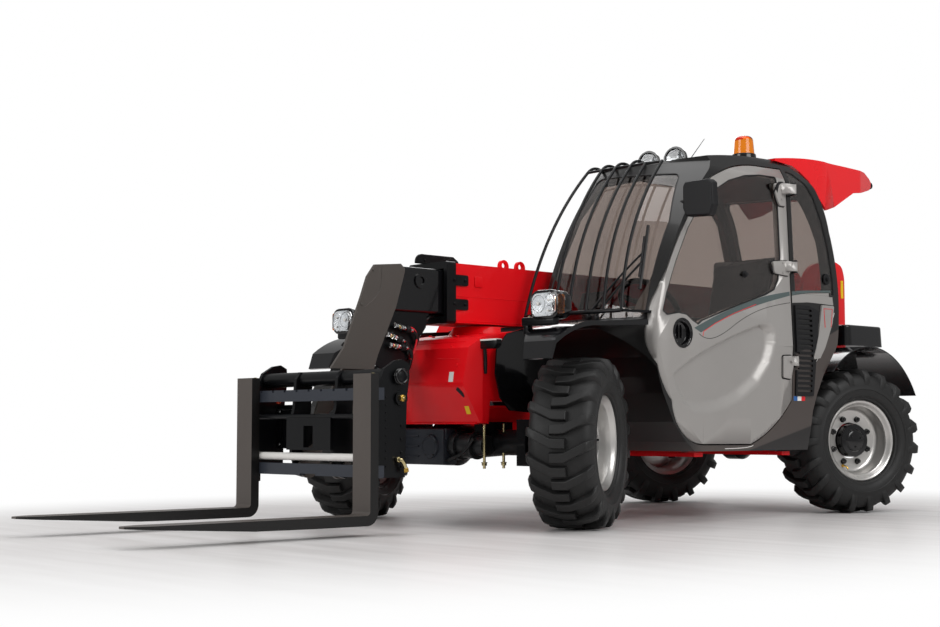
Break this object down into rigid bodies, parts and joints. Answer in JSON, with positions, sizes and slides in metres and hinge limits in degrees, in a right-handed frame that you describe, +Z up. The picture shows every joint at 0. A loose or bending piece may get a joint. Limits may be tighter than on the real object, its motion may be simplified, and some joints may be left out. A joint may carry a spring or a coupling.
{
  "type": "telescopic handler",
  "caption": "Compact telescopic handler with side cab, single-section boom, fork carriage and four steered wheels, parked with the boom down and the wheels turned.",
  "frame": {"origin": "on the ground under the middle of the machine's overall box", "axes": "+X towards the cab side (the machine's left), -Y towards the fork tips, +Z up"},
  "size_m": [2.0504, 5.07, 2.038],
  "materials": {
    "red_paint": "bright red gloss enamel",
    "dark_paint": "black satin enamel",
    "steel_grey": "warm grey satin enamel on forks and head plates",
    "blue_grey": "dark blue-grey satin enamel",
    "silver_paint": "silver metallic enamel",
    "door_silver": "silver metallic door skin",
    "cab_black": "anthracite cab skin",
    "body_black": "black moulded bodywork",
    "red_skin": "bright red moulded bodywork",
    "tinted_glass": "brown-grey tinted safety glass",
    "amber_lens": "amber beacon lens",
    "seat_cloth": "dark seat cloth",
    "trim_black": "black moulded trim",
    "cast": "dark painted castings",
    "chrome_rod": "hard-chromed rod",
    "zinc": "yellow zinc plated steel",
    "tyre_rubber": "black industrial tyre"
  },
  "bodies": {
    "chassis": {"chassis_frame": "red_paint", "tower_plate_left": "red_paint", "tower_plate_right": "red_paint", "cab_louvre": "trim_black", "cab_blade": "silver_paint", "hood_hinges": "trim_black", "counterweight": "cast", "front_axle": "cast", "rear_axle": "cast", "cab_frame": "cab_black", "windscreen": "tinted_glass", "quarter_window": "tinted_glass", "rear_window": "tinted_glass", "right_window": "tinted_glass", "seat": "seat_cloth", "dashboard": "trim_black", "steering_wheel": "trim_black", "windscreen_guard": "dark_paint", "work_lights": "trim_black", "beacon_base": "trim_black", "beacon_lens": "amber_lens", "roof_cowl": "red_skin", "mirror_left": "trim_black", "engine_block": "cast", "engine_tray": "body_black", "front_apron": "red_paint", "front_fender_left": "body_black", "front_fender_right": "body_black", "rear_fenders": "body_black", "rear_boxes": "trim_black", "headlights": "trim_black"},
    "boom": {"boom_outer": "red_paint", "boom_collar": "dark_paint"},
    "boom_section": {"boom_inner": "dark_paint", "boom_head": "steel_grey", "head_bracket": "dark_paint"},
    "carriage": {"coupler": "dark_paint", "carriage": "blue_grey", "lock_pin": "zinc", "fork_left": "steel_grey", "fork_right": "steel_grey"},
    "lift_cylinder_barrel": {"lift_cylinder_barrel": "dark_paint"},
    "lift_cylinder_rod": {"lift_cylinder_rod": "chrome_rod"},
    "tilt_cylinder_barrel": {"tilt_cylinder_barrel": "dark_paint"},
    "tilt_cylinder_rod": {"tilt_cylinder_rod": "chrome_rod"},
    "door": {"door": "door_silver", "door_glass": "tinted_glass"},
    "engine_hood": {"engine_hood": "body_black"},
    "knuckle_front_left": {"knuckle_front_left": "cast"},
    "wheel_front_left": {"rim_front_left": "silver_paint", "tyre_front_left": "tyre_rubber"},
    "knuckle_front_right": {"knuckle_front_right": "cast"},
    "wheel_front_right": {"rim_front_right": "silver_paint", "tyre_front_right": "tyre_rubber"},
    "knuckle_rear_left": {"knuckle_rear_left": "cast"},
    "wheel_rear_left": {"rim_rear_left": "silver_paint", "tyre_rear_left": "tyre_rubber"},
    "knuckle_rear_right": {"knuckle_rear_right": "cast"},
    "wheel_rear_right": {"rim_rear_right": "silver_paint", "tyre_rear_right": "tyre_rubber"}
  },
  "joints": [
    {"name": "boom_lift", "type": "hinge", "parent": "chassis", "child": "boom", "pos_m": [-0.07, 2.335, 1.29], "axis": [-1, 0, 0], "range_deg": [0, 68]},
    {"name": "boom_extend", "type": "slide", "parent": "boom", "child": "boom_section", "axis": [0, -1, 0], "range_m": [0, 1.9]},
    {"name": "carriage_tilt", "type": "hinge", "parent": "boom_section", "child": "carriage", "pos_m": [-0.07, -1.215, 0.29], "axis": [1, 0, 0], "range_deg": [-12, 114]},
    {"name": "lift_barrel_pivot", "type": "hinge", "parent": "chassis", "child": "lift_cylinder_barrel", "pos_m": [-0.07, 1.992, 0.573], "axis": [-1, 0, 0], "range_deg": [-1.11, 56.83]},
    {"name": "lift_rod_slide", "type": "slide", "parent": "lift_cylinder_barrel", "child": "lift_cylinder_rod", "axis": [0, -0.9488, 0.3159], "range_m": [-0.0167, 0.853]},
    {"name": "tilt_barrel_pivot", "type": "hinge", "parent": "boom_section", "child": "tilt_cylinder_barrel", "pos_m": [-0.07, -0.795, 0.8], "axis": [1, 0, 0], "range_deg": [-0.92, 7.41]},
    {"name": "tilt_rod_slide", "type": "slide", "parent": "tilt_cylinder_barrel", "child": "tilt_cylinder_rod", "axis": [0, -0.7654, -0.6436], "range_m": [-0.0282, 0.2261]},
    {"name": "door_swing", "type": "hinge", "parent": "chassis", "child": "door", "pos_m": [0.852, 1.223, 1.1], "axis": [0, 0, 1], "range_deg": [0, 95]},
    {"name": "hood_lift", "type": "hinge", "parent": "chassis", "child": "engine_hood", "pos_m": [-0.395, 0.79, 1.128], "axis": [0, 1, 0], "range_deg": [0, 60]},
    {"name": "front_left_steer", "type": "hinge", "parent": "chassis", "child": "knuckle_front_left", "pos_m": [0.58, -0.405, 0.4], "axis": [0, 0, 1], "range_deg": [-63, 7]},
    {"name": "front_left_spin", "type": "hinge", "parent": "knuckle_front_left", "child": "wheel_front_left", "pos_m": [0.7301, -0.32519, 0.4], "axis": [0.8829, 0.4695, 0], "continuous": true},
    {"name": "front_right_steer", "type": "hinge", "parent": "chassis", "child": "knuckle_front_right", "pos_m": [-0.58, -0.405, 0.4], "axis": [0, 0, 1], "range_deg": [-63, 7]},
    {"name": "front_right_spin", "type": "hinge", "parent": "knuckle_front_right", "child": "wheel_front_right", "pos_m": [-0.7301, -0.48481, 0.4], "axis": [0.8829, 0.4695, 0], "continuous": true},
    {"name": "rear_left_steer", "type": "hinge", "parent": "chassis", "child": "knuckle_rear_left", "pos_m": [0.58, 1.895, 0.4], "axis": [0, 0, 1], "range_deg": [-17, 53]},
    {"name": "rear_left_spin", "type": "hinge", "parent": "knuckle_rear_left", "child": "wheel_rear_left", "pos_m": [0.74168, 1.84247, 0.4], "axis": [0.9511, -0.309, 0], "continuous": true},
    {"name": "rear_right_steer", "type": "hinge", "parent": "chassis", "child": "knuckle_rear_right", "pos_m": [-0.58, 1.895, 0.4], "axis": [0, 0, 1], "range_deg": [-17, 53]},
    {"name": "rear_right_spin", "type": "hinge", "parent": "knuckle_rear_right", "child": "wheel_rear_right", "pos_m": [-0.74168, 1.94753, 0.4], "axis": [0.9511, -0.309, 0], "continuous": true}
  ],
  "couplings": [
    {"joint": "lift_barrel_pivot", "follows": "boom_lift", "ratio": 0.81934},
    {"joint": "lift_rod_slide", "follows": "boom_lift", "m_per_rad": 0.70464},
    {"joint": "tilt_barrel_pivot", "follows": "carriage_tilt", "ratio": 0.063622},
    {"joint": "tilt_rod_slide", "follows": "carriage_tilt", "m_per_rad": 0.11119},
    {"joint": "front_right_steer", "follows": "front_left_steer", "ratio": 1},
    {"joint": "rear_right_steer", "follows": "rear_left_steer", "ratio": 1}
  ]
}
